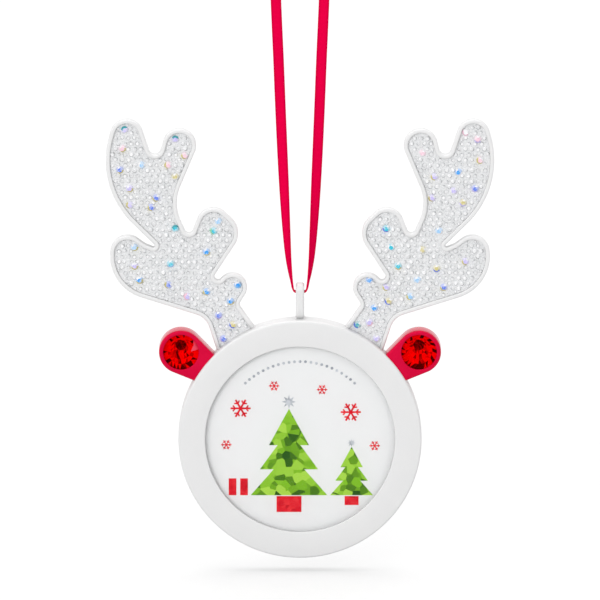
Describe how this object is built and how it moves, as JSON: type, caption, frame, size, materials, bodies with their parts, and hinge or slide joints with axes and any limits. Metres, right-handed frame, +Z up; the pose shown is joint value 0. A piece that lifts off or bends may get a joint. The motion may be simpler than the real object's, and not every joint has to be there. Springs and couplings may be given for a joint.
{
  "type": "picture frame ornament",
  "caption": "Hanging round picture frame ornament with stone-set antlers, red stone ears, a press-in back cover and a ribbon loop.",
  "frame": {"origin": "hanging point: the underside of the ribbon's knot at the top of the loop, in the plane of the hanging eye, over the ring's centre", "axes": "+Z up as the ornament hangs, +Y out of the flat back, so the picture faces -Y; +X to the right as seen from the front"},
  "size_m": [0.0808, 0.0048, 0.1331],
  "materials": {
    "white_lacquer": "satin lacquer",
    "red_lacquer": "gloss lacquer",
    "red_crystal": "cut and foiled",
    "clear_crystal": "cut and foiled",
    "aurora_crystal": "cut, with a rainbow coating",
    "stone_resin": "clear resin over white",
    "window_acrylic": "polished",
    "coated_card": "coated",
    "green_ink": "printed",
    "red_ink": "printed",
    "silver_ink": "printed",
    "satin_ribbon": "satin weave"
  },
  "bodies": {
    "frame": {"frame_body": "white_lacquer", "front_ring": "white_lacquer", "right_ear_setting": "red_lacquer", "left_ear_setting": "red_lacquer", "right_ear_crystal": "red_crystal", "left_ear_crystal": "red_crystal", "right_stone_bed": "stone_resin", "left_stone_bed": "stone_resin", "right_clear_stones": "clear_crystal", "left_clear_stones": "clear_crystal", "right_aurora_stones": "aurora_crystal", "left_aurora_stones": "aurora_crystal", "window": "window_acrylic", "picture_card": "coated_card", "print_green": "green_ink", "print_red": "red_ink", "print_silver": "silver_ink", "ribbon": "satin_ribbon", "ribbon_knot": "satin_ribbon"},
    "cover": {"back_cover": "white_lacquer"}
  },
  "joints": [
    {"name": "cover_pull", "type": "slide", "parent": "frame", "child": "cover", "axis": [0, 1, 0], "range_m": [0, 0.006]}
  ]
}
